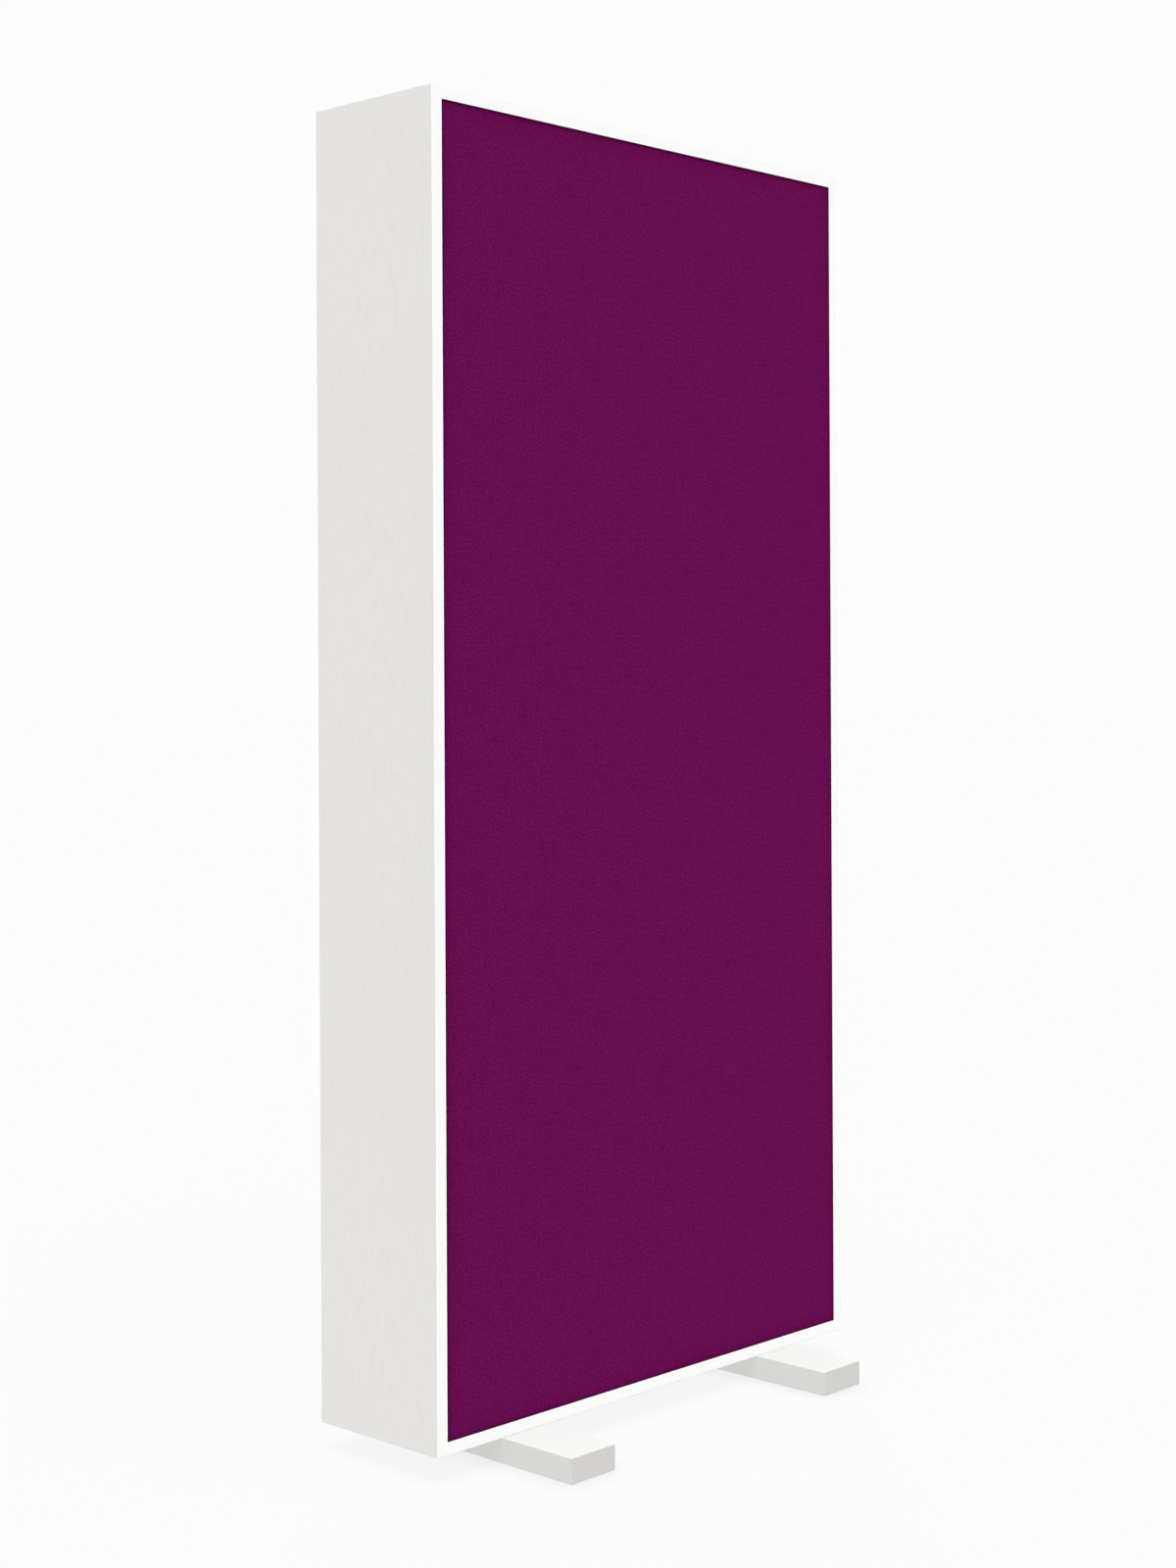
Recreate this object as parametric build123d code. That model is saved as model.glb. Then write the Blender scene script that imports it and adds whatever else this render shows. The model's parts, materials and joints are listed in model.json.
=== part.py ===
from build123d import *
import os

# A free-standing gobo: a tall white box frame of four mitred boards, open at the front and
# at the back, with a fabric covered absorber set flush into each opening. A septum board
# divides the box in the middle, and two bolted feet carry it.
# Millimetres, +Z up. The origin is on the floor under the middle of the box, X runs along
# its width and the front faces -Y. Most pieces are drawn for the front and for the left,
# and those at the back and on the right are mirrored from them.

# Box of four boards
box_width = 573.0
box_height = 1200.0
box_depth = 156.0
board = 12.0
outer_arris = 0.4
inner_arris = 0.3

# Loose tongue glued across each mitre
tongue_width = 10.0
tongue_thickness = 3.0
tongue_stop = 14.0  # from the front and back edges, so that it doesn't show
tongue_fit = 0.1
tongue_place_share = 0.38  # of the mitre, from its inner corner

# Septum, and the two rings of cleats that clamp it
septum = 6.0
septum_fit = 0.3
cleat_width = 20.0
cleat_depth = 20.0

# Brads that pin the glued cleats to the boards, of flat wire with a T head
brad_wire = 1.2
brad_ribbon = 1.6
brad_head = 2.8
brad_head_height = 1.0
brad_cover = 4.0  # wood left between a brad's tip and the outer face
brad_fit = 0.1
side_brad_shares = (-0.45, -0.15, 0.15, 0.45)  # of the inner height, from its middle
end_brad_shares = (-0.3, 0.3)  # of the inner width, from its middle

# Stretcher frame of each absorber
batten = 18.0
batten_round = 1.0
tenon_thickness = 6.0
tenon_length = 10.0
tenon_shoulder = 10.0
tenon_fit = 0.1

# Cloths and mineral wool of each absorber
fabric = 0.9
fabric_return = 12.0
scrim = 0.5
scrim_gap = 0.3
insert_gap = 0.2  # between the fabric and the boards
face_recess = 0.3
wool_gap = 0.3

# Staples through the turned-in fabric into the battens
staple_crown = 10.0
staple_leg = 8.0
staple_wire = 0.7
staple_ribbon = 1.2
staple_pitch = 175.0
staple_fit = 0.1

# Push-in clips cut from two moulded sections: an arrow in the stretcher, a catch in the cleat
clip_breadth = 9.0
clip_flange = 1.4
clip_flange_width = 15.0
clip_tang = 4.0
clip_tang_length = 12.0
clip_barb = 0.5
clip_barb_count = 3
clip_neck = 2.6
clip_neck_length = 2.6
clip_arrow = 6.0
clip_arrow_length = 5.0
clip_arrow_tip = 1.6
clip_wall = 1.2
clip_play = 0.3

# Feet
foot_width = 56.0
foot_height = 23.0
foot_reach = 85.0  # past the box, in front and behind
foot_inset = 108.0  # from the side of the box to the middle of the foot
foot_arris = 0.5

# Hexagon bolts, washers and tee nuts that hold the feet
bolt_diameter = 6.0
bolt_head_width = 10.0
bolt_head_height = 4.0
bolt_spacing = 94.0
bolt_short = 1.0  # from the bolt's tip up to the inside of the box
bolt_play = 0.3
counterbore_diameter = 20.0
counterbore_depth = 9.0
washer_diameter = 16.0
washer_thickness = 1.6
nut_flange_width = 16.0
nut_flange = 1.5
nut_barrel_diameter = 8.5
nut_short = 2.5  # from the end of the barrel to the outer face of the board
nut_fit = 0.1

# Rubber pads let into the underside of the feet
pad_width = 40.0
pad_length = 24.0
pad_thickness = 3.0
pad_proud = 1.0
pad_arris = 0.4
pad_inset = 12.0  # from the end of the foot
pad_fit = 0.2

# How far a cutter runs past what it cuts
overrun = 2.0

# Heights and widths that follow
box_low = pad_proud + foot_height
box_high = box_low + box_height
box_middle = box_low + box_height / 2
inner_width = box_width - 2 * board
inner_height = box_height - 2 * board
inner_low = box_low + board
inner_high = box_high - board
foot_length = box_depth + 2 * foot_reach
foot_x = -box_width / 2 + foot_inset

# Planes of the front absorber, from the cleats behind it to its face
cleat_back = -septum / 2
cleat_front = cleat_back - cleat_depth
clip_seam = cleat_front - clip_flange
clip_seat = clip_seam - clip_flange
batten_back = clip_seat - fabric
batten_front = -box_depth / 2 + face_recess + fabric

# Outline of the stretcher frame, and the steps of its staples
stretcher_x = inner_width / 2 - insert_gap - fabric
stretcher_low = inner_low + insert_gap + fabric
stretcher_high = inner_high - insert_gap - fabric
stretcher_height = stretcher_high - stretcher_low
rail_x = stretcher_x - batten
stile_staples = 2 * round(stretcher_height / staple_pitch / 2)
stile_step = stretcher_height / stile_staples
rail_staples = 2 * round(2 * rail_x / staple_pitch / 2)
rail_step = 2 * rail_x / rail_staples
clip_steps = (1, stile_staples - 1)
rail_heights = {
    "bottom": stretcher_low + batten / 2,
    "middle": (stretcher_low + stretcher_high) / 2,
    "top": stretcher_high - batten / 2,
}

# Inside of a catch, counted from the seam between the two flanges of a clip
catch_mouth = clip_neck / 2 + clip_play
catch_lip = clip_neck_length - clip_play
catch_inside = clip_arrow / 2 + clip_play
catch_outside = catch_inside + clip_wall
catch_floor = clip_neck_length + clip_arrow_length + clip_play
catch_end = catch_floor + clip_wall

# A round or square piece that stands on its lower face, or hangs from its upper face
standing = (Align.CENTER, Align.CENTER, Align.MIN)
hanging = (Align.CENTER, Align.CENTER, Align.MAX)


def block(low, high):
    """Box between its lowest and its highest corner."""
    size = [top - bottom for bottom, top in zip(low, high)]
    return Pos(*low) * Box(*size, align=(Align.MIN, Align.MIN, Align.MIN))


def across(shape):
    """The same shape on the other side of the middle, left for right."""
    return mirror(shape, about=Plane.YZ)


def behind(shape):
    """The same shape on the back half of the box."""
    return mirror(shape, about=Plane.XZ)


def both_sides(near):
    """Shapes on the left, with their copies on the right."""
    return near + [across(shape) for shape in near]


def outline_corners(inset):
    """Corners of the box seen from the front, moved in by the inset on both sides."""
    half = box_width / 2 - inset
    low, high = box_low + inset, box_high - inset
    return [(-half, low), (half, low), (half, high), (-half, high)]


def board_ring():
    """All four boards in one ring, with their arrises eased."""
    half = box_depth / 2
    ring = block((-box_width / 2, -half, box_low), (box_width / 2, half, box_high))
    ring = chamfer(ring.edges(), outer_arris)
    ring -= block(
        (-inner_width / 2, -half - overrun, inner_low),
        (inner_width / 2, half + overrun, inner_high),
    )
    faces = ring.faces().sort_by(Axis.Y)
    rims = [edge for face in (faces[0], faces[-1]) for edge in face.inner_wires().edges()]
    return chamfer(rims, inner_arris)


def board_wedge(index):
    """Space of one board between its two mitres: bottom, right, top and left in turn."""
    outer = outline_corners(-overrun)
    inner = outline_corners(board + overrun)
    after = (index + 1) % len(outer)
    outline = Polyline(outer[index], outer[after], inner[after], inner[index], close=True)
    return extrude(Plane.XZ * make_face(outline), amount=box_depth, both=True)


def boards():
    """The four mitred boards, grooved for the tongues and holed for brads and nuts."""
    ring = board_ring()
    near = brads(brad_fit)
    holes = tongues(tongue_fit) + near + [behind(hole) for hole in near] + at_bolts(nut_hole())
    names = ("bottom_board", "side_board_right", "top_board", "side_board_left")
    return {name: (ring & board_wedge(index)) - holes for index, name in enumerate(names)}


def tongues(play=0.0):
    """Tongue across each mitre, square to it; with play, the grooves that they are glued in."""
    x = inner_width / 2 + tongue_place_share * board
    z = inner_height / 2 + tongue_place_share * board
    length = box_depth - 2 * tongue_stop
    strip = Box(tongue_width + 2 * play, length + 2 * play, tongue_thickness + 2 * play)
    return [
        Pos(side * x, 0, box_middle + end * z) * Rot(0, side * end * 45, 0) * strip
        for side in (-1, 1)
        for end in (-1, 1)
    ]


def brad(play=0.0):
    """T-headed brad along +Z from the flat of its head; with play, the slot that it leaves."""
    wire = brad_wire / 2 + play
    shank = brad_ribbon / 2 + play
    head = brad_head / 2 + play
    tip = cleat_width + board - brad_cover + play
    body = block((-shank, -wire, 0), (shank, wire, tip))
    return body + block((-head, -wire, 0), (head, wire, brad_head_height + play))


def brads(play=0.0):
    """Brads of the front ring, each through the middle of its cleat into a board."""
    y = (cleat_front + cleat_back) / 2
    x = inner_width / 2 - cleat_width
    z = inner_height / 2 - cleat_width
    places = []
    for share in side_brad_shares:
        height = box_middle + share * inner_height
        places += [((side * x, y, height), (side, 0, 0)) for side in (-1, 1)]
    for share in end_brad_shares:
        along = share * inner_width
        places += [((along, y, box_middle + end * z), (0, 0, end)) for end in (-1, 1)]
    return [Plane(origin=place, z_dir=way) * brad(play) for place, way in places]


def cleats():
    """The front ring: a cleat against each board, the upright ones running full height."""
    x = inner_width / 2
    inside = x - cleat_width
    left = block((-x, cleat_front, inner_low), (-inside, cleat_back, inner_high))
    lower = block((-inside, cleat_front, inner_low), (inside, cleat_back, inner_low + cleat_width))
    upper = block((-inside, cleat_front, inner_high - cleat_width), (inside, cleat_back, inner_high))
    holes = brads(brad_fit) + at_clips(catch_pocket(), clip_seam)
    ring = {"left": left, "right": across(left), "bottom": lower, "top": upper}
    return {name: cleat - holes for name, cleat in ring.items()}


def septum_board():
    """Board across the middle of the box, between the two rings of cleats."""
    x = inner_width / 2 - septum_fit
    low = (-x, cleat_back, inner_low + septum_fit)
    return block(low, (x, -cleat_back, inner_high - septum_fit))


def stretcher_block(grow):
    """Outside of the stretcher frame as one block with rounded front edges, grown evenly."""
    x = stretcher_x + grow
    low = (-x, batten_front - grow, stretcher_low - grow)
    whole = block(low, (x, batten_back + grow, stretcher_high + grow))
    return fillet(whole.faces().sort_by(Axis.Y)[0].edges(), batten_round + grow)


def tenons(height, play=0.0):
    """Stub tenons at both ends of the rail at a height, as one bar; with play, their mortises."""
    reach = rail_x + tenon_length + play
    half = tenon_thickness / 2 + play
    front = batten_front + tenon_shoulder - play
    back = batten_back - tenon_shoulder + play
    return block((-reach, front, height - half), (reach, back, height + half))


def stretcher(holes):
    """Front stretcher frame: two full height stiles, and three rails tenoned into them."""
    frame = stretcher_block(0)
    front, back = batten_front - overrun, batten_back + overrun
    low = (-stretcher_x - overrun, front, stretcher_low - overrun)
    left = frame & block(low, (-rail_x, back, stretcher_high + overrun))
    left -= [tenons(height, tenon_fit) for height in rail_heights.values()]
    pieces = {"stile_left": left - holes, "stile_right": across(left) - holes}
    half = batten / 2
    for name, height in rail_heights.items():
        rail = frame & block((-rail_x, front, height - half), (rail_x, back, height + half))
        pieces["rail_" + name] = rail + tenons(height) - holes
    return pieces


def wool_slabs():
    """Two slabs of mineral wool, below and above the middle rail."""
    x = rail_x - wool_gap
    front, back = batten_front + wool_gap, batten_back - wool_gap
    slabs = {}
    for name, under, over in (("lower", "bottom", "middle"), ("upper", "middle", "top")):
        low = rail_heights[under] + batten / 2 + wool_gap
        high = rail_heights[over] - batten / 2 - wool_gap
        slabs["wool_" + name] = block((-x, front, low), (x, back, high))
    return slabs


def fabric_cover(holes):
    """Fabric over the front and sides of the stretcher frame, turned in round its back."""
    x = stretcher_x - fabric_return
    low = (-x, batten_front, stretcher_low + fabric_return)
    window = block(low, (x, clip_seat + overrun, stretcher_high - fabric_return))
    return stretcher_block(fabric) - stretcher_block(0) - window - holes


def scrim_cloth():
    """Thin backing cloth over the wool, lapped onto the battens inside the turned-in fabric."""
    margin = fabric_return + scrim_gap
    x = stretcher_x - margin
    low = (-x, batten_back, stretcher_low + margin)
    return block(low, (x, batten_back + scrim, stretcher_high - margin))


def staple(play=0.0):
    """Upright staple, its crown on y = 0 and its legs towards -Y; with play, its slots."""
    ribbon = staple_ribbon / 2 + play
    half = staple_crown / 2 + play
    gap = staple_crown / 2 - staple_wire - play
    whole = block((-ribbon, -staple_leg - play, -half), (ribbon, staple_wire + play, half))
    low = (-ribbon - overrun, -staple_leg - overrun, -gap)
    return whole - block(low, (ribbon + overrun, 0, gap))


def staples(play=0.0):
    """Staples of the front absorber, along the middle of its outer battens."""
    upright = staple(play)
    level = Rot(0, 90, 0) * upright
    placed = []
    for index in range(stile_staples):
        z = stretcher_low + (index + 1 / 2) * stile_step
        x = stretcher_x - batten / 2
        placed += [Pos(side * x, clip_seat, z) * upright for side in (-1, 1)]
    for index in range(rail_staples):
        x = -rail_x + (index + 1 / 2) * rail_step
        placed += [Pos(x, clip_seat, rail_heights[name]) * level for name in ("bottom", "top")]
    return placed


def clip_section(half_outline):
    """Moulding of one clip, from the right half of its section; it points along +Y."""
    left_half = [(-x, y) for x, y in reversed(half_outline)]
    outline = Polyline(*half_outline, *left_half, close=True)
    return extrude(make_face(outline), amount=clip_breadth / 2, both=True)


def arrow_clip():
    """Barbed tang, flange, neck and arrow head, with the flange's seat at y = 0."""
    half = clip_tang / 2
    tooth = clip_tang_length / (clip_barb_count + 1)
    outline = [(half - clip_barb, -clip_tang_length)]
    for index in range(clip_barb_count):
        root = -clip_tang_length + (index + 1) * tooth
        outline += [(half + clip_barb, root), (half, root)]
    neck_end = clip_flange + clip_neck_length
    outline += [
        (half, 0),
        (clip_flange_width / 2, 0),
        (clip_flange_width / 2, clip_flange),
        (clip_neck / 2, clip_flange),
        (clip_neck / 2, neck_end),
        (clip_arrow / 2, neck_end),
        (clip_arrow_tip / 2, neck_end + clip_arrow_length),
    ]
    return clip_section(outline)


def catch_clip():
    """Flange and box of the catch, with its seam at y = 0 and two lips behind the arrow head."""
    outline = [
        (clip_flange_width / 2, 0),
        (clip_flange_width / 2, clip_flange),
        (catch_outside, clip_flange),
        (catch_outside, catch_end),
    ]
    past = clip_breadth / 2 + overrun
    mouth = block((-catch_mouth, -overrun, -past), (catch_mouth, catch_floor, past))
    inside = block((-catch_inside, catch_lip, -past), (catch_inside, catch_floor, past))
    return clip_section(outline) - mouth - inside


def tang_slot():
    """Slot through the fabric into a stile for the barbed tang."""
    half = clip_tang / 2 + clip_barb + clip_play
    edge = clip_breadth / 2 + clip_play
    return block((-half, -clip_tang_length - clip_play, -edge), (half, overrun, edge))


def catch_pocket():
    """Pocket in a cleat for the box of a catch, counted from the seam."""
    half = catch_outside + clip_play
    edge = clip_breadth / 2 + clip_play
    return block((-half, 0, -edge), (half, catch_end + clip_play, edge))


def at_clips(shape, y):
    """A shape at each clip, midway between two staples of a stile, with its y = 0 at y."""
    x = stretcher_x - batten / 2
    heights = [stretcher_low + step * stile_step for step in clip_steps]
    return [Pos(side * x, y, z) * shape for side in (-1, 1) for z in heights]


def absorber():
    """Every piece of the front absorber, by name."""
    holes = staples(staple_fit) + at_clips(tang_slot(), clip_seat)
    pieces = stretcher(holes)
    pieces.update(wool_slabs())
    pieces["fabric"] = fabric_cover(holes)
    pieces["scrim"] = scrim_cloth()
    pieces["staples"] = Compound(children=staples())
    pieces["clip_arrows"] = Compound(children=at_clips(arrow_clip(), clip_seat))
    pieces["clip_catches"] = Compound(children=at_clips(catch_clip(), clip_seam))
    return pieces


def at_bolts(shape):
    """A shape made on the Z axis, at the two bolts of each foot."""
    return both_sides([Pos(foot_x, side * bolt_spacing / 2, 0) * shape for side in (-1, 1)])


def at_pads(shape):
    """A shape made on the Z axis, at the two pads of each foot."""
    y = foot_length / 2 - pad_inset - pad_length / 2
    return both_sides([Pos(foot_x, side * y, 0) * shape for side in (-1, 1)])


def foot():
    """Left foot, counterbored for its bolts and recessed for its pads."""
    half = foot_width / 2
    low = (foot_x - half, -foot_length / 2, pad_proud)
    wood = chamfer(block(low, (foot_x + half, foot_length / 2, box_low)).edges(), foot_arris)
    bore = Cylinder(bolt_diameter / 2 + bolt_play, box_low + overrun, align=standing)
    bore += Cylinder(counterbore_diameter / 2, pad_proud + counterbore_depth, align=standing)
    recess = Box(pad_width + 2 * pad_fit, pad_length + 2 * pad_fit, pad_thickness, align=standing)
    return wood - at_bolts(bore) - at_pads(recess)


def foot_pad():
    """Rubber pad standing on z = 0, its lower edges eased."""
    pad = Box(pad_width, pad_length, pad_thickness, align=standing)
    return chamfer(pad.faces().sort_by(Axis.Z)[0].edges(), pad_arris)


def foot_bolt():
    """Hexagon bolt standing on its axis, its head against the washer."""
    seat = pad_proud + counterbore_depth - washer_thickness
    hexagon = RegularPolygon(bolt_head_width / 2, 6, major_radius=False)
    shank = Cylinder(bolt_diameter / 2, inner_low - bolt_short - seat, align=standing)
    return Pos(0, 0, seat) * (shank + extrude(hexagon, amount=-bolt_head_height))


def washer():
    """Plain washer against the roof of a counterbore."""
    ring = Cylinder(washer_diameter / 2, washer_thickness, align=hanging)
    ring -= Cylinder(bolt_diameter / 2 + bolt_play, 2 * washer_thickness + overrun)
    return Pos(0, 0, pad_proud + counterbore_depth) * ring


def nut_outside(length, play=0.0):
    """Square flange level with the inside of the box, and a barrel of a length under its top."""
    width = nut_flange_width + 2 * play
    flange = Box(width, width, nut_flange + play, align=hanging)
    barrel = Cylinder(nut_barrel_diameter / 2 + play, length, align=hanging)
    return Pos(0, 0, inner_low) * (flange + barrel)


def tee_nut():
    """Tee nut let into the bottom board from inside the box."""
    bore = Cylinder(bolt_diameter / 2 + nut_fit, inner_low + overrun, align=standing)
    return nut_outside(board - nut_short) - bore


def nut_hole():
    """Hole through the bottom board for a tee nut, its flange let in."""
    return nut_outside(board + overrun, nut_fit)


def all_pieces():
    """Every node of the gobo, by name."""
    pieces = boards()
    pieces["mitre_tongues"] = Compound(children=tongues())
    pieces["septum_board"] = septum_board()
    for name, cleat in cleats().items():
        pieces["cleat_front_" + name] = cleat
        pieces["cleat_back_" + name] = behind(cleat)
    near = brads()
    pieces["cleat_brads"] = Compound(children=near + [behind(piece) for piece in near])
    for name, piece in absorber().items():
        pieces["front_" + name] = piece
        pieces["back_" + name] = behind(piece)
    pieces["foot_left"] = foot()
    pieces["foot_right"] = across(pieces["foot_left"])
    pieces["foot_bolts"] = Compound(children=at_bolts(foot_bolt()))
    pieces["foot_washers"] = Compound(children=at_bolts(washer()))
    pieces["tee_nuts"] = Compound(children=at_bolts(tee_nut()))
    pieces["foot_pads"] = Compound(children=at_pads(foot_pad()))
    return pieces


os.makedirs("parts", exist_ok=True)
for name, piece in all_pieces().items():
    export_step(piece, os.path.join("parts", name + ".step"))
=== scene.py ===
import json
import math
import bmesh
import bpy
import numpy as np
from mathutils import Matrix, Vector

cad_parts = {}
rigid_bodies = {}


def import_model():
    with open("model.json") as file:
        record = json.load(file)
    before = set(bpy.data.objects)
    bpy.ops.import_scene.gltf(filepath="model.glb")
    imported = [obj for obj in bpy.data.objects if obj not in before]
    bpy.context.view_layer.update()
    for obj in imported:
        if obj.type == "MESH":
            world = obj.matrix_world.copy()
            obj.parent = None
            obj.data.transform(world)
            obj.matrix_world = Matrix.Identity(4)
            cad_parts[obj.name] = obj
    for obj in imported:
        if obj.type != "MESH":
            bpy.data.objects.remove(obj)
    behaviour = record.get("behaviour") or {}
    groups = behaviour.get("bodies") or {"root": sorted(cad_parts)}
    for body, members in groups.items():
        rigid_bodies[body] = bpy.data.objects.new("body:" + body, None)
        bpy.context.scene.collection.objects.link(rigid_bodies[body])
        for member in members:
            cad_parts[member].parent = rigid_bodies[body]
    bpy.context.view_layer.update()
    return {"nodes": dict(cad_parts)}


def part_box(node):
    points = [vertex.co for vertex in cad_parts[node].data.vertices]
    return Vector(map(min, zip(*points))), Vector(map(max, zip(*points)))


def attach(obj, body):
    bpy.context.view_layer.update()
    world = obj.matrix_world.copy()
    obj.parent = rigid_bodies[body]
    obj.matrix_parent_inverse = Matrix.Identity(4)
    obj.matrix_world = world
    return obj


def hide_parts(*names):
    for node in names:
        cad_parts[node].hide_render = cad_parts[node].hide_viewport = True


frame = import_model()
nodes = frame["nodes"]
print("frame loaded:", len(nodes), "nodes")

# Camera: level, looking past the near left corner of the box

cameraPlace = {
    "eye": (-1.7402, -1.6414, 0.7074),  # metres
    "heading": (0.7257, 0.6880, 0.0),
    "roll": -0.257,  # degrees about its own line of sight
    "lens": 56.1,  # millimetres, on a 36 mm sensor
    "shift": (-0.00031, -0.0698),  # across and up, in widths of the sensor
    "farthest": 200,  # metres
}


def makeCamera(place):
    forward = Vector(place["heading"]).normalized()
    right = forward.cross(Vector((0, 0, 1))).normalized()
    up = right.cross(forward)
    turn = math.radians(place["roll"])
    across = right * math.cos(turn) + up * math.sin(turn)
    upright = up * math.cos(turn) - right * math.sin(turn)
    data = bpy.data.cameras.new("camera")
    data.lens = place["lens"]
    data.shift_x, data.shift_y = place["shift"]
    data.clip_end = place["farthest"]
    camera = bpy.data.objects.new("camera", data)
    bpy.context.scene.collection.objects.link(camera)
    axes = Matrix((across, upright, -forward)).transposed()
    camera.matrix_world = Matrix.Translation(place["eye"]) @ axes.to_4x4()
    bpy.context.scene.camera = camera


makeCamera(cameraPlace)
print("camera placed")

# Short ways to lay down shader nodes


def plug(tree, socket, value):
    if isinstance(value, bpy.types.NodeSocket):
        tree.links.new(value, socket)
    else:
        socket.default_value = value


def put(tree, kind, inputs=(), out=0, **settings):
    node = tree.nodes.new(kind)
    for key, value in settings.items():
        setattr(node, key, value)
    for key, value in dict(inputs).items():
        plug(tree, node.inputs[key], value)
    return node.outputs[out]


def calc(tree, operation, *values):
    return put(tree, "ShaderNodeMath", dict(enumerate(values)), operation=operation)


def calcPlace(tree, operation, *values):
    return put(tree, "ShaderNodeVectorMath", dict(enumerate(values)), operation=operation)


def blend(tree, share, first, second):
    return put(tree, "ShaderNodeMix", {0: share, 2: first, 3: second}, data_type="FLOAT")


def tint(tree, share, first, second):
    return put(tree, "ShaderNodeMix", {0: share, 6: first, 7: second}, 2, data_type="RGBA")


def noise(tree, place, scale=1.0, detail=2.0, roughness=0.5, out=0):
    inputs = {"Vector": place, "Scale": scale, "Detail": detail, "Roughness": roughness}
    return put(tree, "ShaderNodeTexNoise", inputs, out)


def spread(tree, value, low, high, start=0.0, end=1.0):
    inputs = {"Value": value, 1: low, 2: high, 3: start, 4: end}
    return put(tree, "ShaderNodeMapRange", inputs, interpolation_type="SMOOTHSTEP")


def placed(tree, place, scale=(1, 1, 1), turn=(0, 0, 0)):
    return put(tree, "ShaderNodeMapping", {"Vector": place, "Rotation": turn, "Scale": scale})


def split(tree, place):
    return put(tree, "ShaderNodeSeparateXYZ", {0: place}, slice(0, 3))


def objectPlace(tree):
    return put(tree, "ShaderNodeTexCoord", out=3)


def bump(tree, height, strength, distance):
    inputs = {"Height": height, "Strength": strength, "Distance": distance}
    return put(tree, "ShaderNodeBump", inputs)


def startMaterial(name):
    material = bpy.data.materials.new(name)
    material.use_nodes = True
    material.node_tree.nodes.clear()
    return material, material.node_tree


def finishMaterial(material, **inputs):
    tree = material.node_tree
    surface = tree.nodes.new("ShaderNodeBsdfPrincipled")
    for key, value in inputs.items():
        plug(tree, surface.inputs[key], value)
    put(tree, "ShaderNodeOutputMaterial", {0: surface.outputs[0]}, out=slice(0))
    return material


def dress(names, material):
    for name in names:
        piece = nodes[name]
        if not piece.material_slots:
            piece.data.materials.append(material)
        for slot in piece.material_slots:
            slot.material = material


# Growth rings, for every kind of wood

sideBox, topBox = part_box("side_board_right"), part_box("top_board")
bottomBox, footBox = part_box("bottom_board"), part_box("foot_right")
# How far out the outer face of each kind of board lies
outerFace = {"up": sideBox[1].x, "across": topBox[1].z, "back": footBox[1].x}
grainTurn = {
    "up": (0, 0, 0),  # grain along Z, wide faces across X
    "across": (0, math.pi / 2, 0),  # grain along X, wide faces across Z
    "back": (math.pi / 2, 0, 0),  # grain along Y
}
growth = {
    "sway": (16, 16, 2.5),  # waves a metre in the rings, through, across and along the board
    "swayRings": 7.5,  # how many rings the waves reach over
    "wander": (0.1, 0.1, 3.5),  # waves a metre in where the arches' middle lies
    "wanderReach": 0.06,  # metres
    "lateWood": 3.0,  # power with which the late wood darkens through a ring
    "ringEnd": 0.93,  # share of a ring at which the next one's early wood sets in
}


def growthRings(tree, place, face, log):
    # Rings round a log's axis that runs under the board at a slope: the distance to the axis is
    # the root of (y - heart)^2 + (depth + slope z + way in from the face)^2. Counted in rings,
    # and with the sway added, its fraction of a ring gives the grain
    sway = noise(tree, placed(tree, place, growth["sway"]), detail=4.0, roughness=0.6)
    wander = noise(tree, placed(tree, place, growth["wander"]), detail=1.0)
    x, y, z = split(tree, place)
    reach = growth["wanderReach"]
    heart = calc(tree, "MULTIPLY_ADD", wander, reach, log["heart"] - reach / 2)
    beside = calc(tree, "SUBTRACT", y, heart)
    under = calc(tree, "MULTIPLY_ADD", z, log["slope"], log["depth"] + face)
    under = calc(tree, "SUBTRACT", under, calc(tree, "ABSOLUTE", x))
    squares = [calc(tree, "MULTIPLY", way, way) for way in (beside, under)]
    far = calc(tree, "POWER", calc(tree, "ADD", *squares), 0.5)
    count = calc(tree, "DIVIDE", far, log["ring"])
    count = calc(tree, "ADD", count, calc(tree, "MULTIPLY", sway, growth["swayRings"]))
    part = calc(tree, "FRACT", count)
    late = calc(tree, "POWER", part, growth["lateWood"])
    return calc(tree, "MULTIPLY", late, spread(tree, part, growth["ringEnd"], 1.0, 1.0, 0.0))


# White lacquer over faint plain-sawn grain
# Here and below, four numbers are a range of a noise and what the range's two ends become

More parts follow.
